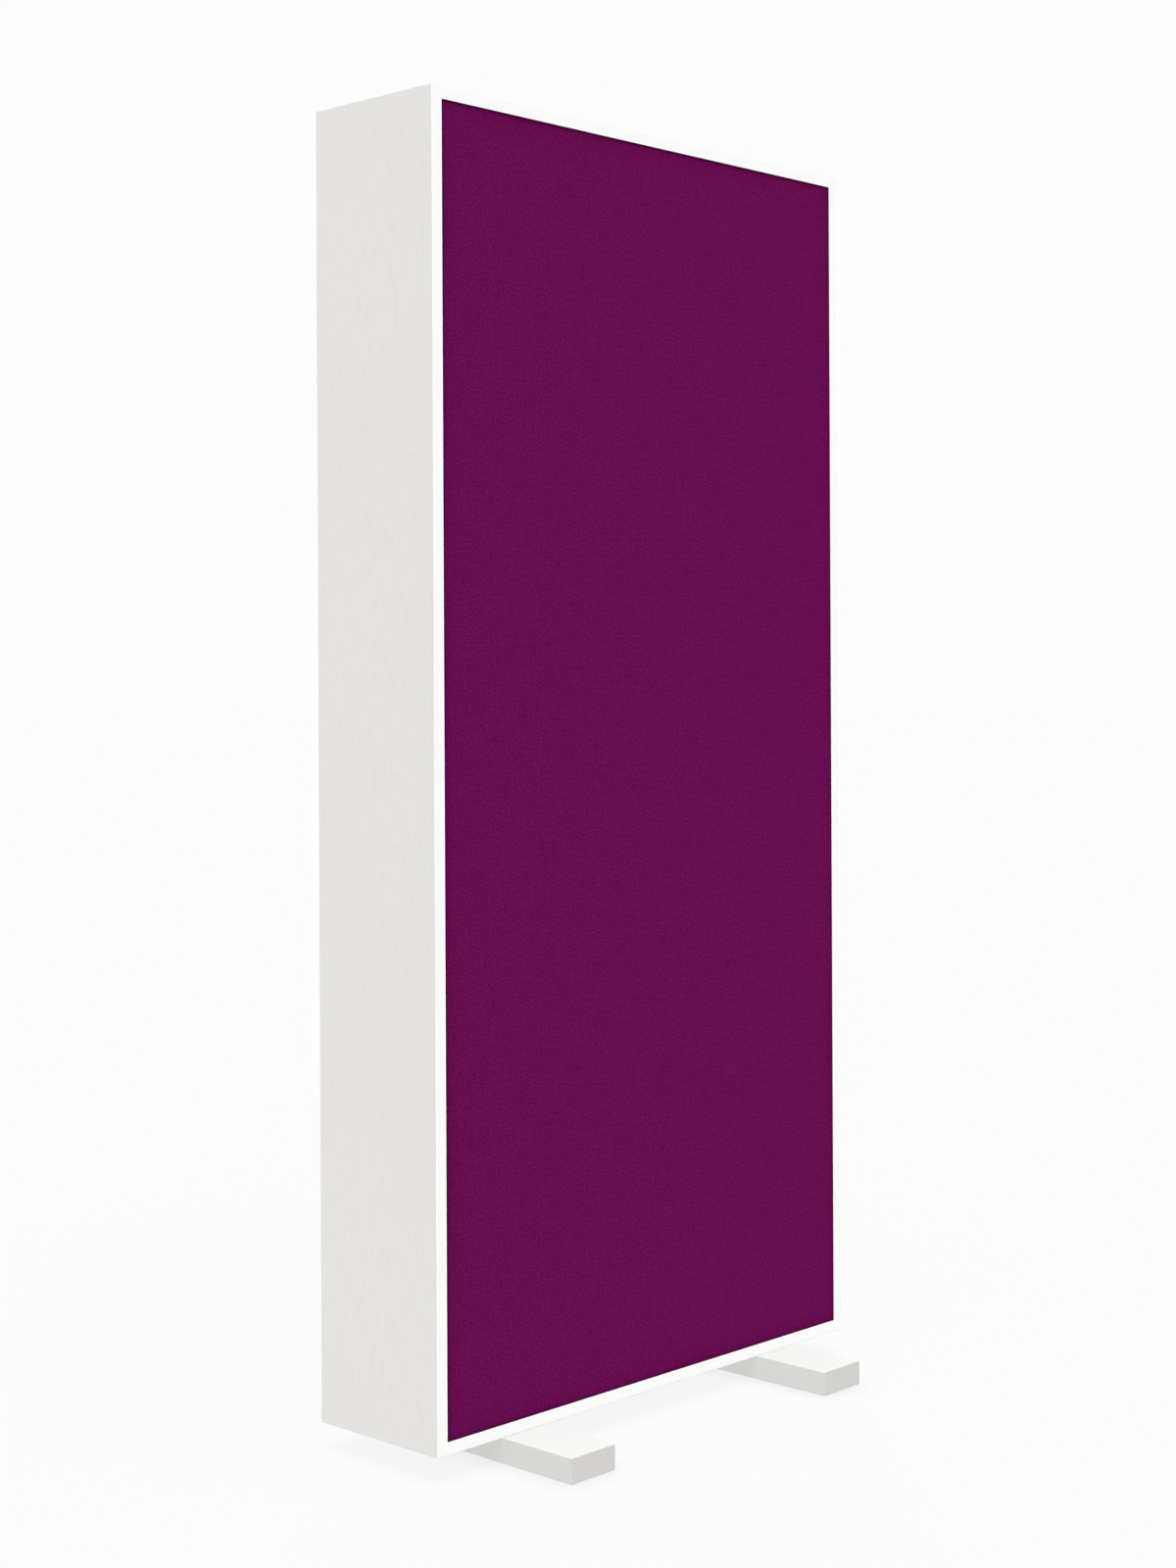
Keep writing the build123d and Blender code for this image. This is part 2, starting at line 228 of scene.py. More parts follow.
lacquer = {
    "face": (0.864, 0.853, 0.823, 1),
    "grain": (0.820, 0.808, 0.777, 1),
    "bandAndHighlight": (0.950, 0.950, 0.942, 1),  # front and back edges of the boards, partly a pale edge band and partly a painted highlight
    "recessShade": (0.082, 0.0045, 0.049, 1),  # painted shade, in the cloth's dark plum, on what looks into the box
    # painted shade on the feet's sides
    "footSideShade": (0.742, 0.736, 0.706, 1),
    # painted highlight on the feet's tops
    "footTopHighlight": (0.950, 0.944, 0.927, 1),
    # painted shade on the feet's ends
    "footEndShade": (0.636, 0.628, 0.602, 1),
    "footArrisShade": (0.540, 0.533, 0.511, 1),  # painted shade on the upright arrises at the feet's ends
    "footShadeShare": 0.85,  # how far the painted shade of the feet's sides covers the grain
    "boxGloss": 0.12,
    "footGloss": 0.03,
    "satin": (0.3, 0.7, 0.42, 0.54),  # roughness
    "satinClouds": 11.0,  # a metre
    "ring": 0.0026,  # metres between growth rings
    "slope": 0.060,  # of the log's axis against the board
    "depth": 0.110,  # of the log's axis under the board's lower end
    "heart": -0.014,  # how far the arches' middle lies from the board's
    "fibres": (650, 650, 22),  # a metre, through, across and along the board
    "fibreShare": 0.30,
    "ringShare": 0.75,
    "breaks": (0.35, 0.60, 0.35, 1.0),  # what the fibres leave of the rings
    "clouds": 3.5,  # a metre
    "cloudTones": (0.35, 0.75, 0.0, 0.35),
    "peel": 420.0,  # a metre
    "grainHeight": -0.5,  # of the grain, against the peel
    "relief": (0.12, 0.0002),  # strength, and depth in metres
}
# Where one tone gives way to the next, as a start and an end in metres past a face
toneEdges = {
    "bandAndHighlight": (-0.0003, -0.0001),
    "recessShade": (0.00028, 0.00032),
    "footEndShade": (-0.00055, -0.00035),
    "footSideShade": (-0.00055, -0.00045),
    "footTopHighlight": (-0.00015, -0.00003),
}


def pastFace(tree, way, face, edge, short=0.0, past=1.0):
    start, end = toneEdges[edge]
    return spread(tree, way, face + start, face + end, short, past)


def boxTones(tree, where, colour):
    # Paler front and back edges, partly a pale edge band and partly a painted highlight, and
    # painted shade in dark plum on the faces and arrises that look into the box, which lie inside
    # both the width and the height of its opening
    x, y, z = split(tree, where)
    # Paler front and back edges: partly a pale edge band, partly a painted highlight
    atEdge = pastFace(tree, calc(tree, "ABSOLUTE", y), sideBox[1].y, "bandAndHighlight")
    colour = tint(tree, atEdge, colour, lacquer["bandAndHighlight"])
    middle = (bottomBox[0].z + topBox[1].z) / 2
    level = calc(tree, "SUBTRACT", z, middle)
    # Painted shade on the faces and arrises that look into the box
    inside = [pastFace(tree, calc(tree, "ABSOLUTE", way), face, "recessShade", 1.0, 0.0)
              for way, face in ((x, sideBox[0].x), (level, topBox[0].z - middle))]
    return tint(tree, calc(tree, "MULTIPLY", *inside), colour, lacquer["recessShade"])


def footPaintedLight(tree, where, colour):
    # Painted shade on the sides, ends and upright arrises, and a painted highlight on the top
    x, y, z = split(tree, where)
    low, high = footBox
    # Painted shade that greys the feet's sides and ends
    colour = tint(tree, lacquer["footShadeShare"], colour, lacquer["footSideShade"])
    atEnd = pastFace(tree, calc(tree, "ABSOLUTE", y), high.y, "footEndShade")
    colour = tint(tree, atEnd, colour, lacquer["footEndShade"])
    across = calc(tree, "SUBTRACT", calc(tree, "ABSOLUTE", x), (low.x + high.x) / 2)
    across = calc(tree, "ABSOLUTE", across)
    atSide = pastFace(tree, across, (high.x - low.x) / 2, "footSideShade")
    # Painted shade on the upright arrises where a side meets an end
    atCorner = calc(tree, "MULTIPLY", atEnd, atSide)
    colour = tint(tree, atCorner, colour, lacquer["footArrisShade"])
    # Painted highlight on the top
    return tint(tree, pastFace(tree, z, high.z, "footTopHighlight"), colour, lacquer["footTopHighlight"])


def lacqueredWood(name, way, tones, gloss):
    material, tree = startMaterial(name)
    where = objectPlace(tree)
    along = placed(tree, where, turn=grainTurn[way])
    rings = growthRings(tree, along, outerFace[way], lacquer)
    fibres = noise(tree, placed(tree, along, lacquer["fibres"]), detail=3.0, roughness=0.6)
    broken = calc(tree, "MULTIPLY", rings, spread(tree, fibres, *lacquer["breaks"]))
    grain = calc(tree, "MULTIPLY", broken, lacquer["ringShare"])
    grain = calc(tree, "MULTIPLY_ADD", fibres, lacquer["fibreShare"], grain)
    colour = tint(tree, grain, lacquer["face"], lacquer["grain"])
    clouds = spread(tree, noise(tree, where, lacquer["clouds"]), *lacquer["cloudTones"])
    colour = tones(tree, where, tint(tree, clouds, colour, lacquer["grain"]))
    peel = noise(tree, where, lacquer["peel"])
    height = calc(tree, "MULTIPLY_ADD", grain, lacquer["grainHeight"], peel)
    satin = noise(tree, where, lacquer["satinClouds"], detail=4.0)
    satin = spread(tree, satin, *lacquer["satin"])
    return finishMaterial(material, **{
        "Base Color": colour, "Roughness": satin, "Specular IOR Level": gloss,
        "Normal": bump(tree, height, *lacquer["relief"]),
    })


dress(["side_board_left", "side_board_right"],
      lacqueredWood("lacqueredUpright", "up", boxTones, lacquer["boxGloss"]))
dress(["top_board", "bottom_board"],
      lacqueredWood("lacqueredLevel", "across", boxTones, lacquer["boxGloss"]))
dress(["foot_left", "foot_right"],
      lacqueredWood("lacqueredFoot", "back", footPaintedLight, lacquer["footGloss"]))
print("lacquered boards and feet finished")

# Raw timber inside the box, with the same keys for its log as the lacquered wood

timber = {
    "softwood": {
        "early": (0.660, 0.475, 0.285, 1), "late": (0.430, 0.245, 0.115, 1),
        "ring": 0.0031, "slope": 0.012, "depth": 0.045, "heart": 0.007,
    },
    "beech": {
        "early": (0.560, 0.375, 0.235, 1), "late": (0.430, 0.262, 0.150, 1),
        "ring": 0.0019, "slope": 0.020, "depth": 0.060, "heart": 0.004,
    },
    "fibres": (1500, 1500, 30),  # a metre, through, across and along the piece
    "fibreTones": (0.35, 0.75, 0.0, 0.45),
    "warm": (0.60, 0.36, 0.19, 1),
    "warmClouds": (6, 6, 2),
    "warmTones": (0.4, 0.8, 0.0, 0.3),
    "planed": (0.2, 0.8, 0.62, 0.78),  # roughness
    "ringHeight": 0.5,  # of the rings, against the fibres
    "relief": (0.35, 0.0003),
}


def rawTimber(name, kind, way):
    log = timber[kind]
    material, tree = startMaterial(name)
    along = placed(tree, objectPlace(tree), turn=grainTurn[way])
    rings = growthRings(tree, along, outerFace[way], log)
    fibres = noise(tree, placed(tree, along, timber["fibres"]), detail=4.0, roughness=0.65)
    colour = tint(tree, rings, log["early"], log["late"])
    colour = tint(tree, spread(tree, fibres, *timber["fibreTones"]), colour, log["late"])
    warm = noise(tree, placed(tree, along, timber["warmClouds"]))
    colour = tint(tree, spread(tree, warm, *timber["warmTones"]), colour, timber["warm"])
    height = calc(tree, "MULTIPLY_ADD", rings, timber["ringHeight"], fibres)
    return finishMaterial(material, **{
        "Base Color": colour, "Roughness": spread(tree, fibres, *timber["planed"]),
        "Normal": bump(tree, height, *timber["relief"]),
    })


upright = [n for n in nodes if n.startswith("cleat_") and n.endswith(("_left", "_right"))]
upright += [n for n in nodes if "_stile_" in n]
level = [n for n in nodes if n.startswith("cleat_") and n.endswith(("_top", "_bottom"))]
level += [n for n in nodes if "_rail_" in n]
dress(upright, rawTimber("softwoodUpright", "softwood", "up"))
dress(level, rawTimber("softwoodLevel", "softwood", "across"))
dress(["mitre_tongues"], rawTimber("beechTongue", "beech", "back"))

fibreboard = {
    "light": (0.470, 0.325, 0.200, 1),
    "dark": (0.285, 0.180, 0.100, 1),
    "chips": 900.0,  # a metre
    "clots": 160.0,
    "chipShare": 0.6,  # of the chips in the tone, against the clots
    "tones": (0.35, 0.65),
    "pressed": (0.2, 0.8, 0.60, 0.75),  # roughness
    "relief": (0.25, 0.0002),
}


def pressedFibreboard(name):
    material, tree = startMaterial(name)
    where = objectPlace(tree)
    chips = noise(tree, where, fibreboard["chips"], detail=4.0, roughness=0.7)
    clots = noise(tree, where, fibreboard["clots"], detail=3.0, roughness=0.6)
    share = calc(tree, "MULTIPLY", clots, 1 - fibreboard["chipShare"])
    share = calc(tree, "MULTIPLY_ADD", chips, fibreboard["chipShare"], share)
    tone = spread(tree, share, *fibreboard["tones"])
    return finishMaterial(material, **{
        "Base Color": tint(tree, tone, fibreboard["light"], fibreboard["dark"]),
        "Roughness": spread(tree, chips, *fibreboard["pressed"]),
        "Normal": bump(tree, share, *fibreboard["relief"]),
    })


dress(["septum_board"], pressedFibreboard("fibreboard"))
print("timber finished")

# Metal, nylon and rubber

zinc = {
    "bright": (0.640, 0.650, 0.665, 1),
    "dark": (0.470, 0.475, 0.480, 1),
    "spangles": 900.0,  # a metre
    "spangleShare": 0.5,
    "smears": (250, 250, 900),
    "polish": (0.25, 0.75, 0.26, 0.42),  # roughness
    "relief": (0.08, 0.0001),
}
moulded = {
    "nylon": {
        "colour": (0.820, 0.820, 0.795, 1), "grit": 1400.0,
        "polish": (0.3, 0.7, 0.36, 0.48), "relief": (0.2, 0.0001),
    },
    "rubber": {
        "colour": (0.022, 0.022, 0.023, 1), "grit": 1800.0,
        "polish": (0.3, 0.7, 0.70, 0.86), "relief": (0.2, 0.0002),
    },
    "clouds": 60.0,  # a metre
    "cloudTones": (0.35, 0.7, 0.0, 0.6),
    "darker": 0.88,  # share of the colour that is left in the clouds
}


def zincPlate(name):
    material, tree = startMaterial(name)
    where = objectPlace(tree)
    cells = {"Vector": where, "Scale": zinc["spangles"]}
    spangle = put(tree, "ShaderNodeTexVoronoi", cells, 1)
    grey = put(tree, "ShaderNodeRGBToBW", {0: spangle})
    tone = calc(tree, "MULTIPLY", grey, zinc["spangleShare"])
    smears = noise(tree, placed(tree, where, zinc["smears"]), detail=3.0)
    return finishMaterial(material, **{
        "Base Color": tint(tree, tone, zinc["bright"], zinc["dark"]),
        "Metallic": 1.0, "Roughness": spread(tree, smears, *zinc["polish"]),
        "Normal": bump(tree, smears, *zinc["relief"]),
    })


def mouldedPlastic(name):
    stuff = moulded[name]
    material, tree = startMaterial(name)
    where = objectPlace(tree)
    grit = noise(tree, where, stuff["grit"], detail=3.0, roughness=0.6)
    clouds = spread(tree, noise(tree, where, moulded["clouds"]), *moulded["cloudTones"])
    darker = tuple(moulded["darker"] * part for part in stuff["colour"][:3]) + (1,)
    return finishMaterial(material, **{
        "Base Color": tint(tree, clouds, stuff["colour"], darker),
        "Roughness": spread(tree, grit, *stuff["polish"]),
        "Normal": bump(tree, grit, *stuff["relief"]),
    })


fixings = ["cleat_brads", "foot_bolts", "foot_washers", "tee_nuts"]
fixings += ["front_staples", "back_staples"]
clips = [side + "_clip_" + part for side in ("front", "back") for part in ("arrows", "catches")]
dress(fixings, zincPlate("zincPlate"))
dress(clips, mouldedPlastic("nylon"))
dress(["foot_pads"], mouldedPlastic("rubber"))
print("hardware finished")

# Helpers for surfaces


def gridFaces(rows, columns, closed=False):
    # Quads between neighbouring points of a grid, a closed one joining its last column to its
    # first
    row, column = np.arange(rows - 1)[:, None], np.arange(columns - (not closed))[None]
    here, beside = row * columns + column, row * columns + (column + 1) % columns
    return np.stack([here, beside, beside + columns, here + columns], -1).reshape(-1, 4)


def makePiece(name, points, faces, material, fields=None):
    # points and faces are arrays; fields are named arrays, with one value a point, or two for
    # a map
    mesh = bpy.data.meshes.new(name)
    mesh.from_pydata(points.tolist(), [], faces.tolist())
    corners = faces.ravel()
    for key, values in (fields or {}).items():
        values = values.astype(np.float32)
        if values.ndim == 2:
            mesh.uv_layers.new(name=key).data.foreach_set("uv", values[corners].ravel())
        else:
            mesh.attributes.new(key, "FLOAT", "POINT").data.foreach_set("value", values)
    mesh.polygons.foreach_set("use_smooth", np.ones(len(faces), bool))
    mesh.materials.append(material)
    mesh.update()
    piece = bpy.data.objects.new(name, mesh)
    bpy.context.scene.collection.objects.link(piece)
    return piece


def mergeDoubles(piece, distance):
    made = bmesh.new()
    made.from_mesh(piece.data)
    bmesh.ops.remove_doubles(made, verts=made.verts, dist=distance)
    bmesh.ops.recalc_face_normals(made, faces=made.faces)
    made.to_mesh(piece.data)
    made.free()


def thicken(piece, thickness):
    solid = piece.modifiers.new("thickness", "SOLIDIFY")
    solid.thickness = thickness
    solid.offset = -1


# Woven fabric over the front and back absorbers

cloth = {
    "thickness": 0.0009,
    "roll": 0.0010,  # outer radius where the cloth turns over the batten
    "fold": 0.0012,  # outer radius where it turns in behind
    "cornerRadius": 0.0018,
    "cornerReach": 0.014,  # how far in behind the corner comes to a point
    "faceMargin": 0.0080,  # width of the strip between the flat face and the outline
    "turnedIn": 0.0129,
    "merge": 1e-6,  # points closer than this become one
    "cells": (56, 118),
    "cornerSteps": 5,
    "profileSteps": {"face": 12, "turn": 8, "side": 7, "back": 5},
    "crowding": 1.4,  # power that draws the face's steps together near the roll
    "pull": 0.00012,  # height of the ripples that the staples pull
    "pullPitch": 0.1955,  # the staples' step on the long sides, kept on the short ones
    "pullWidth": 0.012,
    # Shade beside the frame: how strong at the top, left, right and bottom, and how wide
    "edgeShade": (0.92, 0.74, 0.36, 0.42),
    "edgeWidth": 0.0016,
    "softShade": 0.17,
    "softWidth": 0.0068,
}
weave = {
    "yarn": 0.00105,  # metres between yarns
    "colour": (0.1276, 0.0038, 0.0743, 1),
    # colour of the painted shade in the yarns' low places
    "deep": (0.0570, 0.0016, 0.0330, 1),
    "bright": (0.2214, 0.0076, 0.1298, 1),
    "shade": (0.0150, 0.0006, 0.0090, 1),  # where the cloth dips under the frame's edge
    "sway": 55.0,  # waves a metre in the yarns
    "swayReach": 0.0006,  # metres
    "crossing": 0.12,  # softness of the step from one yarn to the next
    "round": 0.6,  # power that rounds a yarn
    "hollows": (0.05, 0.85, 0.85, 0.0),  # painted shade in a yarn's low places: how deep the tone is, from the low places to the top
    "yarnTones": 35,  # changes of tone a metre along a yarn, before the next number
    "toneScale": 0.9,
    "flecks": 480.0,  # a metre
    "fleckShare": 0.75,  # of the flecks in the tone, against the yarns' own
    "fleckHeight": 0.25,
    "tones": (0.42, 0.60),  # where the flecks turn from the colour to the bright one
    "matt": (0.2, 0.8, 0.84, 0.94),  # roughness
    "gloss": 0.01,
    "sheen": 0.02,
    "sheenRoughness": 0.5,
    "sheenColour": (0.70, 0.03, 0.50, 1),
    "relief": (0.28, 0.0003),
}


def wovenCloth(name):
    # Plain weave: the sign of sin(pi u) sin(pi v) says which yarn lies on top in each cell, and
    # each yarn is round across and arched along, as high as the sines' sizes
    material, tree = startMaterial(name)
    flat = put(tree, "ShaderNodeUVMap", uv_map="flatCut")
    sway = calcPlace(tree, "SUBTRACT", noise(tree, flat, weave["sway"], out=1), (0.5,) * 3)
    sway = calcPlace(tree, "MULTIPLY", sway, (weave["swayReach"], weave["swayReach"], 0.0))
    axes = split(tree, calcPlace(tree, "ADD", flat, sway))
    u, v = [calc(tree, "SINE", calc(tree, "MULTIPLY", way, math.pi / weave["yarn"]))
            for way in axes[:2]]
    onTop = spread(tree, calc(tree, "MULTIPLY", u, v), -weave["crossing"], weave["crossing"])
    sizeU, sizeV = calc(tree, "ABSOLUTE", u), calc(tree, "ABSOLUTE", v)
    warp, weft = [calc(tree, "MULTIPLY", calc(tree, "POWER", across, weave["round"]),
                       calc(tree, "MULTIPLY_ADD", along, 0.5, 0.5))
                  for across, along in ((sizeU, sizeV), (sizeV, sizeU))]
    height = blend(tree, onTop, weft, warp)
    warpScale = (1 / weave["yarn"], weave["yarnTones"], 1)
    weftScale = (weave["yarnTones"], 1 / weave["yarn"], 1)
    warpTone, weftTone = [noise(tree, placed(tree, flat, scale), weave["toneScale"])
                          for scale in (warpScale, weftScale)]
    tone = blend(tree, onTop, weftTone, warpTone)
    flecks = noise(tree, flat, weave["flecks"], detail=3.0, roughness=0.75)
    share = calc(tree, "MULTIPLY", flecks, weave["fleckShare"])
    share = calc(tree, "MULTIPLY_ADD", tone, 1 - weave["fleckShare"], share)
    colour = tint(tree, spread(tree, share, *weave["tones"]), weave["colour"], weave["bright"])
    # Painted shade in the yarns' low places
    colour = tint(tree, spread(tree, height, *weave["hollows"]), colour, weave["deep"])
    rim = put(tree, "ShaderNodeAttribute", out=2, attribute_name="rim")
    relief = calc(tree, "MULTIPLY_ADD", flecks, weave["fleckHeight"], height)
    return finishMaterial(material, **{
        "Base Color": tint(tree, rim, colour, weave["shade"]),
        "Roughness": spread(tree, flecks, *weave["matt"]),
        "Specular IOR Level": weave["gloss"], "Sheen Weight": weave["sheen"],
        "Sheen Roughness": weave["sheenRoughness"], "Sheen Tint": weave["sheenColour"],
        "Normal": bump(tree, relief, *weave["relief"]),
    })


def clothProfile(low, high):
    # Inset from the outline and depth in y along the cloth, from the flat face over the roll,
    # back along the side, and round the fold to the turned-in edge
    steps = cloth["profileSteps"]
    turn = np.linspace(0, math.pi / 2, steps["turn"] + 1)
    roll, fold = cloth["roll"], cloth["fold"]
    crowded = np.linspace(1, 0, steps["face"] + 1)[:-1] ** cloth["crowding"]
    face = roll + (cloth["faceMargin"] - roll) * crowded
    side = np.linspace(low + roll, high - fold, steps["side"] + 1)[1:-1]
    back = np.linspace(fold, cloth["turnedIn"], steps["back"] + 1)[1:]
    inset = np.concatenate([face, roll * (1 - np.sin(turn)), 0 * side,
                            fold * (1 - np.cos(turn)), back])
    depth = np.concatenate([low + 0 * face, low + roll * (1 - np.cos(turn)), side,
                            high - fold * (1 - np.sin(turn)), high + 0 * back])
    return inset, depth


def outlineRing(columns, rows, corner):
    # Unit places and outward directions once round a rectangle, each corner fanned over a
    # quarter turn: right along the bottom, up the right, left along the top and down the left
    x, z = np.linspace(-1, 1, columns + 1), np.linspace(-1, 1, rows + 1)
    fan = np.linspace(0, math.pi / 2, corner + 1)[1:-1]
    sides = [(x, 0 * x - 1, 0 * x, 0 * x - 1), (0 * z + 1, z, 0 * z + 1, 0 * z),
             (x[::-1], 0 * x + 1, 0 * x, 0 * x + 1), (0 * z - 1, z[::-1], 0 * z - 1, 0 * z)]
    fans = [(1, -1, np.sin(fan), -np.cos(fan)), (1, 1, np.cos(fan), np.sin(fan)),
            (-1, 1, -np.sin(fan), np.cos(fan)), (-1, -1, -np.cos(fan), -np.sin(fan))]
    parts = []
    for straight, (cx, cz, nx, nz) in zip(sides, fans):
        corners = np.stack([cx + 0 * fan, cz + 0 * fan, nx, nz], -1)
        parts += [np.stack(straight, -1), corners]
    return np.concatenate(parts)


def rimShade(size, seen):
    # Shade beside the frame: each side's strength times e to the minus distance over width, the
    # largest of the four, and a fainter, wider share of the nearest side's distance
    away = np.stack([size[1] - seen[:, 1], size[0] + seen[:, 0],
                     size[0] - seen[:, 0], size[1] + seen[:, 1]], -1)
    sharp = (np.array(cloth["edgeShade"]) * np.exp(-away / cloth["edgeWidth"])).max(1)
    soft = cloth["softShade"] * np.exp(-away.min(1) / cloth["softWidth"])
    return np.minimum(sharp + soft, 1)


def fabricCover(name, node, facing, material):
    low, high = (np.array(corner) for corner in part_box(node))
    half, middle = (high - low) / 2, (high + low) / 2
    front, back = (low[1], high[1]) if facing < 0 else (-high[1], -low[1])
    inset, depth = clothProfile(front, back)
    columns, rows = cloth["cells"]
    ring = outlineRing(columns, rows, cloth["cornerSteps"])
    spot, outward = ring[None, :, :2], ring[None, :, 2:]
    size = half[[0, 2]]
    margin, behind = cloth["faceMargin"], len(inset) // 2
    # Strip round the face: outline place times (half size - inset - corner radius), plus the
    # outward direction times that radius, which falls to nothing at the strip's inner end and
    # behind
    radius = cloth["cornerRadius"] * (1 - inset / margin)
    radius[behind:] = cloth["cornerRadius"] * (1 - inset[behind:] / cloth["cornerReach"])
    radius = np.maximum(radius, 0)[:, None, None]
    flatPlace = spot * (size - inset[:, None, None] - radius) + outward * radius
    # Place on the flat cut: the place seen from the front, plus the outward direction times what
    # the way along the cloth is longer than it looks from there
    walked = np.concatenate([[0], np.cumsum(np.hypot(np.diff(inset), np.diff(depth)))])
    cut = flatPlace + outward * (walked - (margin - inset))[:, None, None]
    # Ripples: a cosine of the place along the side, fading with the distance from the roll and
    # nothing at the flat face
    onSide = np.abs(ring[:, 2]) > 0.5
    around = np.where(onSide, ring[:, 1] * size[1], ring[:, 0] * size[0])
    rollMiddle = margin + cloth["roll"] * (math.pi / 4 - 1)
    fade = np.exp(-(((walked - rollMiddle) / cloth["pullWidth"]) ** 2))
    fade = fade * np.clip(walked / margin, 0, 1) ** 2
    wave = np.cos(2 * math.pi * around / cloth["pullPitch"])
    flatPlace = flatPlace + outward * (cloth["pull"] * fade[:, None] * wave[None])[:, :, None]
    strip = np.stack([flatPlace[..., 0] + middle[0], depth[:, None] + 0 * flatPlace[..., 0],
                      flatPlace[..., 1] + middle[2]], -1)
    # Flat face inside the strip
    gx, gz = np.meshgrid(np.linspace(-1, 1, columns + 1), np.linspace(-1, 1, rows + 1))
    gx, gz = gx * (size[0] - margin), gz * (size[1] - margin)
    face = np.stack([gx + middle[0], front + 0 * gx, gz + middle[2]], -1)
    points = np.concatenate([face.reshape(-1, 3), strip.reshape(-1, 3)])
    faces = np.concatenate([gridFaces(rows + 1, columns + 1),
                            gridFaces(len(inset), len(ring), True)[:, ::-1] + gx.size])
    onFace = np.stack([gx, gz], -1).reshape(-1, 2)
    flatCut = np.concatenate([onFace, cut.reshape(-1, 2)])
    rim = rimShade(size, np.concatenate([onFace, flatPlace.reshape(-1, 2)]))
    points[:, 1] *= -facing
    piece = makePiece(name, points, faces, material, {"flatCut": flatCut, "rim": rim})
    mergeDoubles(piece, cloth["merge"])
    thicken(piece, cloth["thickness"])
    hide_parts(node)
    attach(piece, "root")


fabricMaterial = wovenCloth("wovenFabric")
fabricCover("frontFabricCover", "front_fabric", -1, fabricMaterial)
fabricCover("backFabricCover", "back_fabric", 1, fabricMaterial)
print("fabric covers made")

# Thin backing cloth

backing = {
    "thickness": 0.0005,
    "wave": 0.00010,  # height
    "waves": (41, 29),  # radians a metre, across and up
    "cells": (52, 114),
    "dark": (0.012, 0.012, 0.013, 1),
    "light": (0.045, 0.045, 0.048, 1),
    "fibres": (300, 2200),  # a metre, along and across a fibre
    "tones": (0.5, 0.75),
    "matt": (0.4, 0.8, 0.82, 0.95),  # roughness
    "sheen": 0.15,
    "relief": (0.4, 0.0002),
}


def nonWoven(name):
    # Fibres laid across one another: the larger of two stretched noises
    material, tree = startMaterial(name)
    where = objectPlace(tree)
    along, across = backing["fibres"]
    layers = [noise(tree, placed(tree, where, scale), detail=4.0, roughness=0.7)
              for scale in ((along, 1, across), (across, 1, along))]
    share = calc(tree, "MAXIMUM", *layers)
    tone = spread(tree, share, *backing["tones"])
    return finishMaterial(material, **{
        "Base Color": tint(tree, tone, backing["dark"], backing["light"]),
        "Roughness": spread(tree, share, *backing["matt"]),
        "Sheen Weight": backing["sheen"], "Normal": bump(tree, share, *backing["relief"]),
    })


def backingCloth(name, node, material):
    # Flat sheet with a shallow wave: the product of two sines of the place across and up
    low, high = (np.array(corner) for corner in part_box(node))
    columns, rows = backing["cells"]
    x, z = np.meshgrid(np.linspace(low[0], high[0], columns + 1),
                       np.linspace(low[2], high[2], rows + 1))
    wave = backing["wave"] * np.sin(x * backing["waves"][0]) * np.sin(z * backing["waves"][1])
    y = (low[1] + high[1]) / 2 + backing["thickness"] / 2 + wave
    points = np.stack([x, y, z], -1).reshape(-1, 3)
    piece = makePiece(name, points, gridFaces(rows + 1, columns + 1)[:, ::-1], material)
    thicken(piece, backing["thickness"])
    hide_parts(node)
    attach(piece, "root")


backingMaterial = nonWoven("backingCloth")
backingCloth("frontBackingCloth", "front_scrim", backingMaterial)
backingCloth("backBackingCloth", "back_scrim", backingMaterial)
print("backing cloths made")

# Mineral wool slabs

wool = {
    "edge": 0.0035,  # radius
    "rough": 0.0009,  # depth of the loose fibres' hollows
    "cell": 0.007,
    "merge": 1e-5,  # points closer than this become one
    # Waves that roughen a slab, in radians a metre along x, y and z, before their scale
    "waves": [[61, 97, 43], [-83, 51, 71], [37, -119, -89], [149, 67, -131], [-101, 173, 157]],
    "waveScale": 2.1,
    "waveShift": 1.7,  # radians from one wave to the next
    "sideShift": {"front": 5, "back": 8},  # radians
    "pale": (0.520, 0.480, 0.330, 1),
    "dark": (0.300, 0.265, 0.165, 1),
    "layers": (120, 900, 120),  # a metre
    "strands": (900, 900, 60),
    "layerShare": 0.6,  # of the layers in the tone, against the strands
    "tones": (0.32, 0.68),
    "matt": (0.2, 0.8, 0.85, 0.97),  # roughness
    "sheen": 0.2,
    "relief": (0.7, 0.0009),
}


def mineralWool(name):
    material, tree = startMaterial(name)
    where = objectPlace(tree)
    layers = noise(tree, placed(tree, where, wool["layers"]), detail=5.0, roughness=0.65)
    strands = noise(tree, placed(tree, where, wool["strands"]), detail=4.0, roughness=0.7)
    share = calc(tree, "MULTIPLY", strands, 1 - wool["layerShare"])
    share = calc(tree, "MULTIPLY_ADD", layers, wool["layerShare"], share)
    return finishMaterial(material, **{
        "Base Color": tint(tree, spread(tree, share, *wool["tones"]), wool["dark"], wool["pale"]),
        "Roughness": spread(tree, strands, *wool["matt"]),
        "Sheen Weight": wool["sheen"], "Normal": bump(tree, share, *wool["relief"]),
    })


